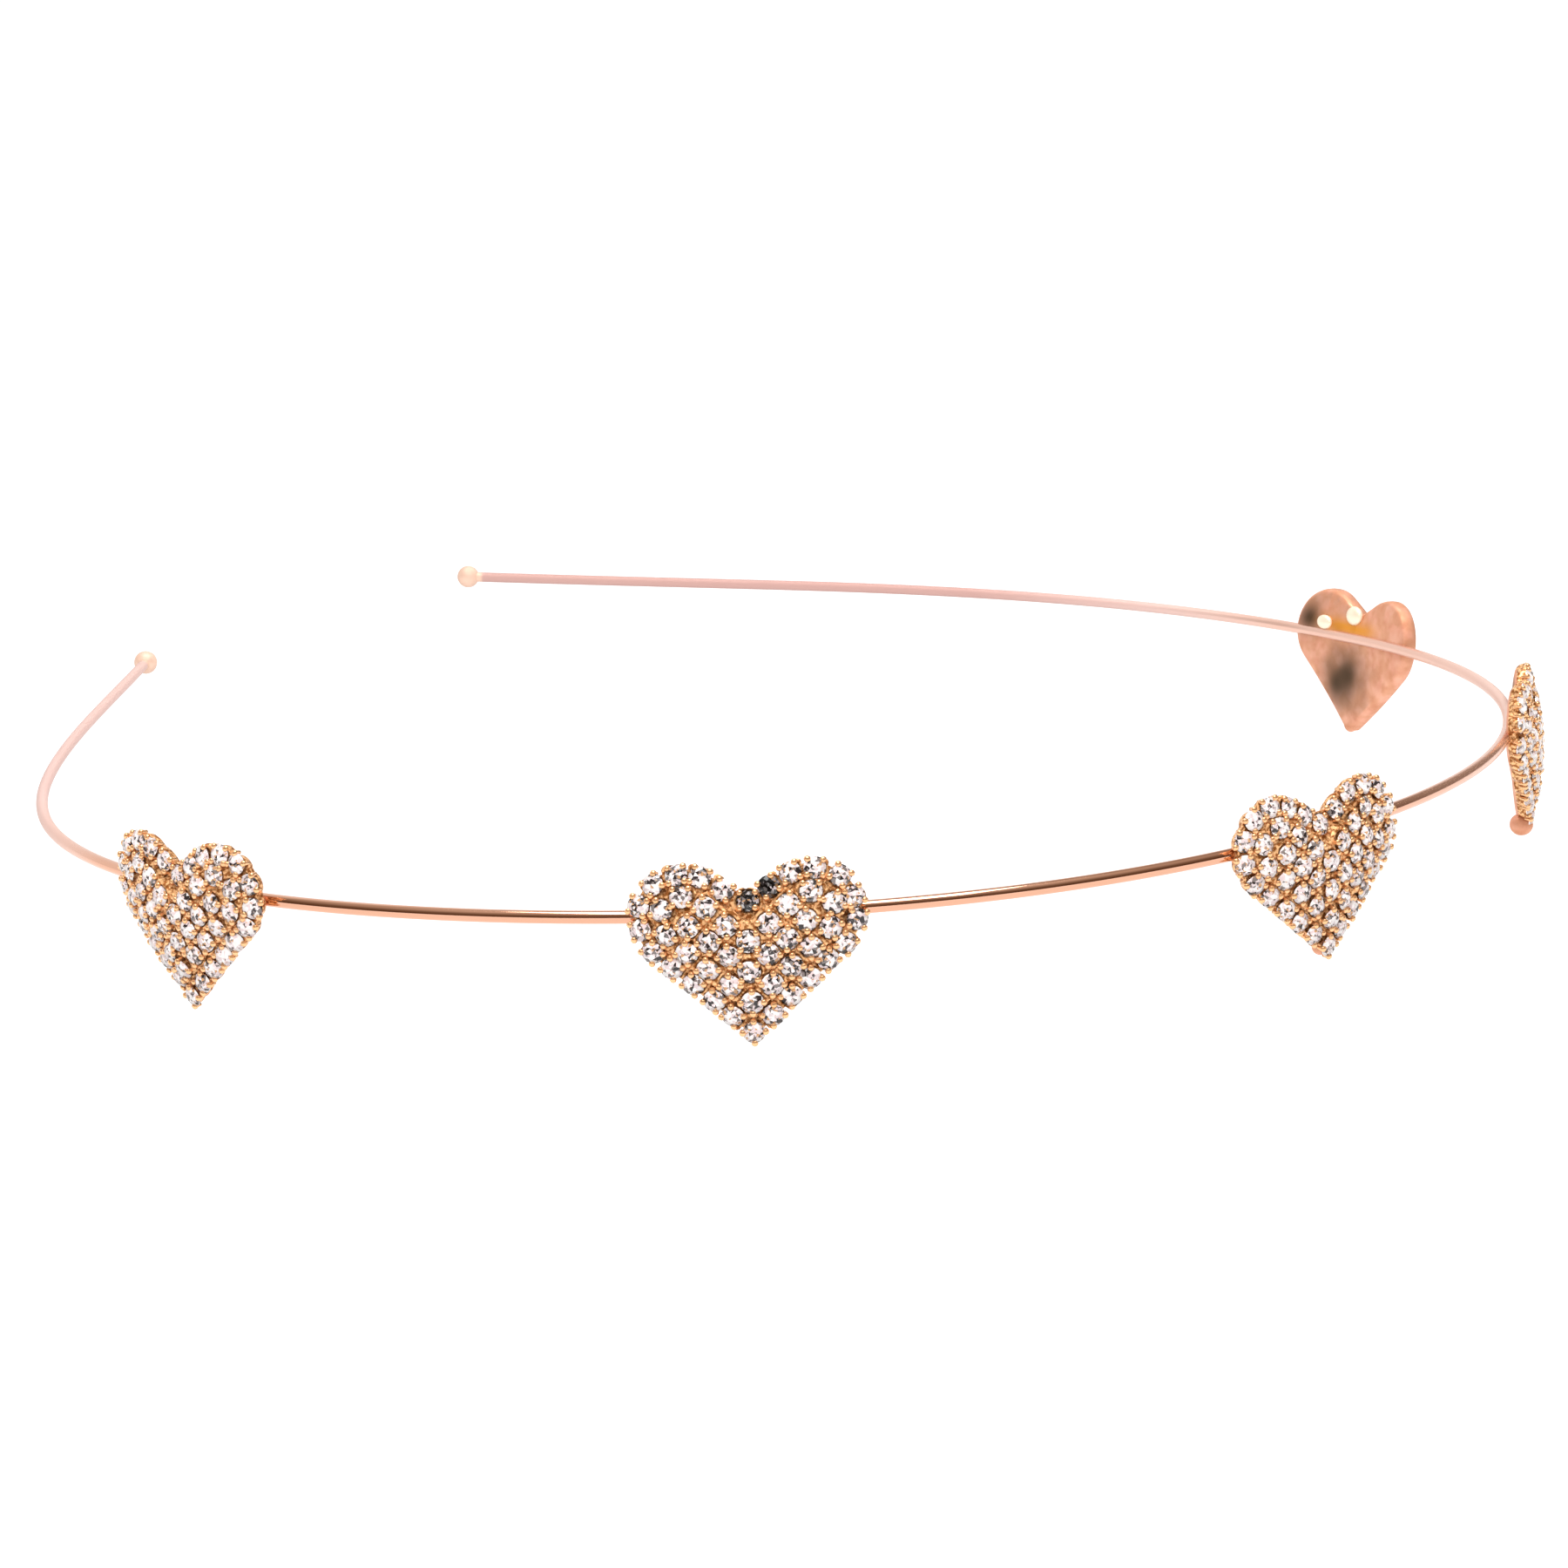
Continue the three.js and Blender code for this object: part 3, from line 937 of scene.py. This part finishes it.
def back_swell(point, seed):
    """How far the back stands out at a place, for the solder seam and slight dents."""
    lumps = 0.7 + 0.6 * noise.noise(Vector((0.55 * point.x, 0.4 * point.y, 7.3 * seed)))
    across = math.exp(-((point.y / SEAM["half_width"]) ** 2))
    along = math.exp(-((point.x / SEAM["half_length"]) ** 4))
    dents = DENT_DEPTH * noise.noise(Vector((0.22 * point.x, 0.22 * point.y, 3.1 * seed)))
    return SEAM["swell"] * lumps * across * along + dents


def flux_at(point):
    """How amber the back is at a place, from 0 to 1: most just above the solder seam."""
    across = ((point.y - FLUX["y"]) / FLUX["half_width"]) ** 2
    along = ((point.x - FLUX["x"]) / FLUX["half_length"]) ** 4
    return math.exp(-across - along)


def stain_at(point, spots):
    """How dark brown the back is at a place, from 0 to 1, near its patches."""
    ragged = 1 + RAGGED_EDGE * noise.noise(0.4 * point)
    gaps = [(point.xy - Vector((x, y))).length * ragged / radius for x, y, radius in spots]
    return 1 - math.prod(1 - math.exp(-(gap**2)) for gap in gaps)


BACK_HEIGHTS = cushion_heights(BACK_RINGS, len(OUTER_ROW))
print("back rises", round(CUSHION * max(BACK_HEIGHTS[-1]), 2), "mm in its middle")

# %% Castings


def front_loops(edge, seats):
    """Shrunken copies of the wall's front edge, from the middle outwards, lowered into the pits."""
    loops = []
    for step in range(1, FRONT_RINGS):
        ring = [HEART_MIDDLE.lerp(point.xy, step / FRONT_RINGS) for point in edge]
        loops.append([Vector((point.x, point.y, floor_height(point, seats))) for point in ring])
    return loops


def back_loops(edge, seed):
    """Shrunken copies of the wall's back edge, from the edge inwards, raised to a cushion."""
    loops = []
    for step in range(1, BACK_RINGS):
        share = 1 - (step / BACK_RINGS) ** BACK_CROWDING
        loop = []
        for start, height in zip(edge, BACK_HEIGHTS[step]):
            point = HEART_MIDDLE.lerp(start.xy, share)
            swell = CUSHION * height + back_swell(point, seed) * min(1.0, SWELL_FADE * height)
            loop.append(Vector((point.x, point.y, start.z - swell)))
        loops.append(loop)
    return loops


def casting_mesh(name, seats, seed, spots):
    """One casting: the front from the middle outwards, then the wall, then the back to its middle."""
    wall = WALLS[name]
    front, back = front_loops(wall[0], seats), back_loops(wall[-1], seed)
    loops = front + wall + back
    count = len(wall[0])
    points = [point for loop in loops for point in loop]
    points += [sum(loop, Vector()) / count for loop in (loops[0], loops[-1])]
    first, last = len(points) - 2, (len(loops) - 1) * count
    faces = [(first, index, (index + 1) % count) for index in range(count)]
    for ring in range(len(loops) - 1):
        low, high = ring * count, (ring + 1) * count
        for index in range(count):
            after = (index + 1) % count
            faces.append((low + index, high + index, high + after, low + after))
    faces += [(last + index, first + 1, last + (index + 1) % count) for index in range(count)]
    mesh = bpy.data.meshes.new(f"casting_{name}")
    mesh.from_pydata(points, [], faces)
    # Only the back gets the dark patches and the flux: its points lie below the wall's last loop.
    behind = wall[-1][0].z + 0.01
    stain = [stain_at(point, spots) if point.z < behind else 0.0 for point in points]
    flux = [flux_at(point) if point.z < behind else 0.0 for point in points]
    keep_values(mesh, stain=stain, flux=flux)
    mesh.materials.append(FRONT_METAL)
    mesh.materials.append(CASTING_METAL)
    # The cups keep the front's skin, but a flared wall is polished with the back.
    cups = 0 if name in WALL_FLARE else CUP_ROWS
    front_faces = (len(front) + 1 + cups) * count
    mesh.polygons.foreach_set("material_index", [int(face >= front_faces) for face in range(len(faces))])
    mesh.shade_smooth()
    return mesh


for index, name in enumerate(HEART_NAMES):
    mesh = casting_mesh(name, HEART_SEATS[name], index + 1, DARK_PATCHES[name])
    keep_on_heart("casting", index, mesh, "rose_gold", "band")

# %% [markdown]
# ## Feet and solder drops
#
# A round foot behind each tip keeps the heart off the skin, and drops of bright solder stay beside the
# joint with the wire. On the right outer heart one drop hangs over the edge of the notch. Each is a
# flattened ball, half sunk in the back. Solder is mostly tin, so it is whiter than the plating, and it
# sets with a satin skin. On the right outer heart the two drops are also painted highlights: their pale
# cream satin stands in for two bright glints on the back.

# %% Feet and solder drops
FEET = {
    "left_outer": {"place": (0.0, -10.4, 0.40), "half": (0.75, 0.75, 0.75)},
    "left": {"place": (0.0, -10.4, 0.40), "half": (0.75, 0.75, 0.75)},
    "middle": {"place": (0.0, -10.9, 0.60), "half": (0.85, 0.85, 0.85)},
    "right": {"place": (0.0, -11.6, 0.75), "half": (1.15, 1.25, 1.30)},
    "right_outer": {"place": (0.0, -11.0, 0.95), "half": (1.25, 1.28, 0.62)},
}
COMMON_DROPS = [{"place": (3.4, 0.75, -0.10), "half": (1.10, 0.80, 0.45)}]
# These drops stand where the back shows two bright glints: their pale colour is painted highlight as well as
# solder.
HIGHLIGHT_SOLDER_DROPS = {
    "right_outer": [
        {"place": (6.0, 1.35, -0.15), "half": (1.30, 0.95, 0.55)},
        {"place": (0.60, 2.90, 0.05), "half": (1.50, 1.25, 0.65)},
    ],
}
DROP_SIDES = 24
DROP_RINGS = 14


def solder_with_painted_highlights():
    """Tin solder with a satin skin, pale enough to serve as painted highlights."""
    material, tree = new_finish("tin_solder_painted_highlights")
    add_coat(tree, {"Base Color": colour("#f6e8d0"), "Metallic": 0.5, "Roughness": 0.45})
    return material


def balls_mesh(name, balls, metal):
    """Flattened balls as one mesh, each with its place and its half sizes."""
    shape = bmesh.new()
    for ball in balls:
        place = Matrix.Translation(ball["place"]) @ Matrix.Diagonal((*ball["half"], 1))
        sides = {"u_segments": DROP_SIDES, "v_segments": DROP_RINGS}
        bmesh.ops.create_uvsphere(shape, **sides, radius=1, matrix=place)
    mesh = bpy.data.meshes.new(name)
    shape.to_mesh(mesh)
    shape.free()
    mesh.materials.append(metal)
    mesh.shade_smooth()
    return mesh


SOLDER_AND_HIGHLIGHTS = solder_with_painted_highlights()
for index, name in enumerate(HEART_NAMES):
    foot_mesh = balls_mesh(f"foot_{name}", [FEET[name]], CASTING_METAL)
    keep_on_heart("foot", index, foot_mesh, "rose_gold", "band")
    solder_mesh = balls_mesh(f"solder_{name}", HIGHLIGHT_SOLDER_DROPS.get(name, COMMON_DROPS), SOLDER_AND_HIGHLIGHTS)
    keep_on_heart("solder", index, solder_mesh, "rose_gold", "band")

# %% [markdown]
# ## Claws
#
# Four claws bent over its edge hold each stone, and the beads at the ends of the outer claws give the
# heart its knobbly outline. One claw is drawn as a small mesh. The tree sets four claws in a square and
# a square on each seat, turned as the seat's point says.

# %% Claw pattern
CLAWS_PER_STONE = 4
CLAW_CIRCLE = 1.06
CLAW_SIDES = 8
CLAW_ROWS = (
    {"out": 0.05, "up": -0.60, "radius": 0.20},
    {"out": 0.06, "up": -0.28, "radius": 0.19},
    {"out": 0.05, "up": -0.06, "radius": 0.24},
    {"out": 0.03, "up": 0.06, "radius": 0.31},
    {"out": 0.00, "up": 0.18, "radius": 0.32},
    {"out": -0.04, "up": 0.31, "radius": 0.24},
)
TIP_SHIFT = 0.02
TIP_RISE = 0.4


def claw_pattern():
    """A bent post that ends in a bead, on the seat's +X side."""
    points, faces = [], []
    for row in CLAW_ROWS:
        for side in range(CLAW_SIDES):
            angle = 2 * math.pi * side / CLAW_SIDES
            x, y = row["radius"] * math.cos(angle), row["radius"] * math.sin(angle)
            points.append((row["out"] + x, y, row["up"]))
    for row in range(len(CLAW_ROWS) - 1):
        here, there = row * CLAW_SIDES, (row + 1) * CLAW_SIDES
        for side in range(CLAW_SIDES):
            after = (side + 1) % CLAW_SIDES
            faces.append((here + side, here + after, there + after, there + side))
    end = CLAW_ROWS[-1]
    points.append((end["out"] - TIP_SHIFT, 0, end["up"] + TIP_RISE * end["radius"]))
    crown = (len(CLAW_ROWS) - 1) * CLAW_SIDES
    faces += [(crown + side, crown + (side + 1) % CLAW_SIDES, len(points) - 1) for side in range(CLAW_SIDES)]
    faces.append(tuple(reversed(range(CLAW_SIDES))))
    mesh = bpy.data.meshes.new("claw_pattern")
    mesh.from_pydata(points, [], faces)
    mesh.shade_smooth()
    return mesh


claw = bpy.data.objects.new("claw_pattern", claw_pattern())
print("claw has", len(claw.data.polygons), "faces")

# %% Claws on their seats


def seat_rotation(tree):
    """Add the nodes that read a seat's turns."""
    turns = add_node(
        tree, "GeometryNodeInputNamedAttribute", {"Name": "turns"}, data_type="FLOAT_VECTOR"
    )
    return add_node(tree, "FunctionNodeEulerToRotation", {"Euler": turns.outputs[0]}).outputs[0]


def claw_tree():
    """Claws in a circle, and such a circle on each seat."""
    sizes = {
        "Claw": "NodeSocketObject",
        "Claws": "NodeSocketInt",
        "Claw Circle": "NodeSocketFloat",
        "Metal": "NodeSocketMaterial",
    }
    tree, given = new_tree("claws_on_seats", sizes)
    circle = add_node(
        tree, "GeometryNodeMeshCircle", {"Vertices": given["Claws"], "Radius": given["Claw Circle"]}
    )
    number = add_node(tree, "GeometryNodeInputIndex").outputs[0]
    part = add_node(tree, "ShaderNodeMath", {0: 2 * math.pi, 1: given["Claws"]}, operation="DIVIDE")
    angle = add_node(tree, "ShaderNodeMath", {0: number, 1: part.outputs[0]}, operation="MULTIPLY")
    spin = add_node(tree, "ShaderNodeCombineXYZ", {"Z": angle.outputs[0]})
    spin_round = add_node(tree, "FunctionNodeEulerToRotation", {"Euler": spin.outputs[0]})
    one_claw = add_node(tree, "GeometryNodeObjectInfo", {"Object": given["Claw"]}).outputs["Geometry"]
    claws = add_node(
        tree,
        "GeometryNodeInstanceOnPoints",
        {"Points": circle.outputs[0], "Instance": one_claw, "Rotation": spin_round.outputs[0]},
    )
    corners = add_node(
        tree, "GeometryNodeTransform", {"Geometry": claws.outputs[0], "Rotation": (0, 0, math.pi / 4)}
    )
    settings = add_node(
        tree,
        "GeometryNodeInstanceOnPoints",
        {"Points": given["Geometry"], "Instance": corners.outputs[0], "Rotation": seat_rotation(tree)},
    )
    solid = add_node(tree, "GeometryNodeRealizeInstances", {"Geometry": settings.outputs[0]})
    plating = {"Geometry": solid.outputs[0], "Material": given["Metal"]}
    plated = add_node(tree, "GeometryNodeSetMaterial", plating)
    add_node(tree, "NodeGroupOutput", {"Geometry": plated.outputs[0]})
    return tree


claws_on_seats = claw_tree()
claw_sizes = {
    "Claw": claw,
    "Claws": CLAWS_PER_STONE,
    "Claw Circle": CLAW_CIRCLE,
    "Metal": CLAW_METAL,
}
for index, name in enumerate(HEART_NAMES):
    mesh = grown_mesh(f"claws_{name}", seat_points(name, HEART_SEATS[name]), claws_on_seats, claw_sizes)
    keep_on_heart("claws", index, mesh, "rose_gold", f"stones_{name}")

# %% [markdown]
# ## Foiled glass stones
#
# The stones are machine-cut glass with a silvered back. Light goes in through the flat table and the
# slanting crown, bounces off the silvered cone behind, and comes out somewhere else, which is why
# neighbouring facets are white, lilac, amber and black. A painted pattern would stay still as the view
# moves, so the facets are real: a clear crown over a mirror cone. At this size most of a facet shows one
# tone of the foil behind it, broken by a few glints, so each facet is also painted with reflected light:
# a random tone from black through grey, amber and lilac to white, broken into small painted glints.
# These painted reflections do stay still as the view moves, and they are mixed with the real ones.

# %% Stone finishes
GLINT_MM = 0.3
# Tones of painted reflected light, each from its own start: the crown's run from black through grey, amber
# and lilac to white, the foil's from black through lilac grey to white.
CROWN_REFLECTION_TONES = ((0.0, "#2c2728"), (0.28, "#857c7a"), (0.41, "#d3a172"), (0.45, "#ead8da"), (0.60, "#fffcfb"))
FOIL_REFLECTION_TONES = ((0.0, "#262223"), (0.24, "#c0b3b6"), (0.38, "#fdfbfa"))
FACET_SHARE = 0.55
LOST_FOIL = "#050507"


def painted_facet_reflections(tree, tones):
    """A painted reflection tone for each facet, broken into small painted glints, and darkened where a stone
    has lost its foil.
    """
    wear = add_node(tree, "ShaderNodeAttribute", attribute_name="wear").outputs["Fac"]
    dull = add_node(tree, "ShaderNodeAttribute", attribute_name="dull").outputs["Fac"]
    place = add_node(tree, "ShaderNodeTexCoord").outputs["Object"]
    cells = add_node(tree, "ShaderNodeTexVoronoi", {"Vector": place, "Scale": 1 / (GLINT_MM * MM)})
    glint = add_node(tree, "ShaderNodeSeparateColor", {0: cells.outputs["Color"]}).outputs[0]
    chance = add_node(tree, "ShaderNodeMix", {"Factor": FACET_SHARE, 2: glint, 3: wear})
    foil = add_node(tree, "ShaderNodeValToRGB", {"Fac": chance.outputs[0]})
    foil.color_ramp.interpolation = "CONSTANT"
    set_tones(foil, tones)
    lost = add_node(tree, "ShaderNodeMath", {0: dull, 1: glint}, operation="MULTIPLY", use_clamp=True)
    shares = {"Factor": lost.outputs[0], 6: foil.outputs[0], 7: colour(LOST_FOIL)}
    return add_node(tree, "ShaderNodeMix", shares, data_type="RGBA").outputs[2]


def crown_glass():
    """Polished crystal glass, index of refraction about 1.56, with a painted reflection tone in each facet.
    """
    material, tree = new_finish("crystal_glass_crown_painted_reflections")
    tone = painted_facet_reflections(tree, CROWN_REFLECTION_TONES)
    add_coat(tree, {"Base Color": tone, "Roughness": 0.03, "IOR": 1.56, "Transmission Weight": 0.48})
    return material


def silver_foil():
    """Silver foil behind glass: a mirror whose facets are painted with reflection tones from black through
    lilac grey to white, and lost on dull stones.
    """
    material, tree = new_finish("silver_foil_painted_reflections")
    tone = painted_facet_reflections(tree, FOIL_REFLECTION_TONES)
    add_coat(tree, {"Base Color": tone, "Metallic": 1.0, "Roughness": 0.15})
    return material


GLASS = crown_glass()
FOIL = silver_foil()
print("stone finishes:", GLASS.name, FOIL.name)

# %% Stone cut
TABLE_SHARE = 0.50
CROWN_SHARE = 0.36
STAR_SHARE = 0.79
CONE_SHARE = 0.76
CONE_BREAK = 0.28
BELT_SHARE = 0.06


def stone_pattern():
    """A round brilliant of radius 1: table, stars, kites and upper halves in front, kites and halves behind.

    The table is split into eight, because each part of it shows another facet of the foil.
    """
    eighth = math.pi / 4
    slope = CROWN_SHARE / (1 - TABLE_SHARE)
    star_height = slope * (1 - STAR_SHARE * math.cos(eighth / 2))
    break_height = -CONE_SHARE * (1 - CONE_BREAK * math.cos(eighth / 2))
    rings = [
        [(TABLE_SHARE, k * eighth, CROWN_SHARE) for k in range(8)],
        [(STAR_SHARE, (k + 0.5) * eighth, star_height) for k in range(8)],
        [(1.0, j * eighth / 2, 0.0) for j in range(16)],
        [(1.0, j * eighth / 2, -BELT_SHARE) for j in range(16)],
        [(CONE_BREAK, (k + 0.5) * eighth, break_height) for k in range(8)],
    ]
    points = [(r * math.cos(a), r * math.sin(a), z) for ring in rings for r, a, z in ring]
    points += [(0, 0, -CONE_SHARE), (0, 0, CROWN_SHARE)]
    table, star, girdle, belt, deep, culet, peak = 0, 8, 16, 32, 48, 56, 57
    front, back = [], []
    for k in range(8):
        after, before = (k + 1) % 8, (k - 1) % 8
        even, odd, last = 2 * k, 2 * k + 1, (2 * k + 2) % 16
        front.append((peak, table + k, table + after))
        front.append((table + k, star + k, table + after))
        front.append((table + k, star + before, girdle + even, star + k))
        front.append((star + k, girdle + even, girdle + odd))
        front.append((star + k, girdle + odd, girdle + last))
        back.append((girdle + even, belt + even, belt + odd, girdle + odd))
        back.append((girdle + odd, belt + odd, belt + last, girdle + last))
        back.append((deep + k, belt + odd, belt + even))
        back.append((deep + k, belt + last, belt + odd))
        back.append((culet, deep + k, belt + even, deep + before))
    mesh = bpy.data.meshes.new("stone_pattern")
    mesh.from_pydata(points, [], front + back)
    foiled = [False] * len(front) + [True] * len(back)
    mesh.attributes.new("foiled", "BOOLEAN", "FACE").data.foreach_set("value", foiled)
    return mesh


stone = bpy.data.objects.new("stone_pattern", stone_pattern())
print("stone cut has", len(stone.data.polygons), "facets")

# %% Set stones
STONE_DIAMETER = 2.14
# The least painted facet light of each heart: a higher value paints its stones brighter.
LEAST_PAINTED_FACET_LIGHT = {"left_outer": 0.16, "left": 0.0, "middle": 0.16, "right": 0.45, "right_outer": 0.0}


def set_stone_tree():
    """One stone on each seat, spun at random, with glass in front and foil behind, and a random painted
    reflection value on each facet.
    """
    sizes = {
        "Stone": "NodeSocketObject",
        "Stone Diameter": "NodeSocketFloat",
        "Seed": "NodeSocketInt",
        "Least Painted Facet Light": "NodeSocketFloat",
        "Glass": "NodeSocketMaterial",
        "Foil": "NodeSocketMaterial",
    }
    tree, given = new_tree("set_stones", sizes)
    cut = add_node(tree, "GeometryNodeObjectInfo", {"Object": given["Stone"]}).outputs["Geometry"]
    half = add_node(tree, "ShaderNodeMath", {0: given["Stone Diameter"], 1: 0.5}, operation="MULTIPLY")
    spins = {2: 0.0, 3: math.pi / 4, "Seed": given["Seed"]}
    spin = add_node(tree, "FunctionNodeRandomValue", spins, data_type="FLOAT")
    spun = add_node(tree, "ShaderNodeCombineXYZ", {"Z": spin.outputs[1]})
    spun_round = add_node(tree, "FunctionNodeEulerToRotation", {"Euler": spun.outputs[0]})
    stones = add_node(
        tree,
        "GeometryNodeInstanceOnPoints",
        {
            "Points": given["Geometry"],
            "Instance": cut,
            "Rotation": seat_rotation(tree),
            "Scale": half.outputs[0],
        },
    )
    turned = add_node(
        tree,
        "GeometryNodeRotateInstances",
        {"Instances": stones.outputs[0], "Rotation": spun_round.outputs[0], "Local Space": True},
    )
    solid = add_node(tree, "GeometryNodeRealizeInstances", {"Geometry": turned.outputs[0]})
    # Each facet gets a random value between the least and 1, which picks its painted reflection tone.
    facet_light_range = {2: given["Least Painted Facet Light"], 3: 1.0, "Seed": given["Seed"]}
    wear = add_node(tree, "FunctionNodeRandomValue", facet_light_range, data_type="FLOAT").outputs[1]
    painted_facets = add_node(
        tree,
        "GeometryNodeStoreNamedAttribute",
        {"Geometry": solid.outputs[0], "Name": "wear", "Value": wear},
        data_type="FLOAT",
        domain="FACE",
    )
    foiled = add_node(
        tree, "GeometryNodeInputNamedAttribute", {"Name": "foiled"}, data_type="BOOLEAN"
    )
    in_front = {"Geometry": painted_facets.outputs[0], "Material": given["Glass"]}
    clear = add_node(tree, "GeometryNodeSetMaterial", in_front)
    behind = {"Geometry": clear.outputs[0], "Selection": foiled.outputs[0], "Material": given["Foil"]}
    backed = add_node(tree, "GeometryNodeSetMaterial", behind)
    add_node(tree, "NodeGroupOutput", {"Geometry": backed.outputs[0]})
    return tree


set_stones = set_stone_tree()
for index, name in enumerate(HEART_NAMES):
    stone_sizes = {
        "Stone": stone,
        "Stone Diameter": STONE_DIAMETER,
        "Seed": index + 1,
        "Least Painted Facet Light": LEAST_PAINTED_FACET_LIGHT[name],
        "Glass": GLASS,
        "Foil": FOIL,
    }
    mesh = grown_mesh(f"gems_{name}", seat_points(name, HEART_SEATS[name]), set_stones, stone_sizes)
    keep_on_heart("gems", index, mesh, "crystal", f"stones_{name}")

# %% [markdown]
# ## Close the scene
#
# The patterns were only there to be repeated, so they go.

# %% Close
for pattern in (claw, stone):
    bpy.data.objects.remove(pattern)
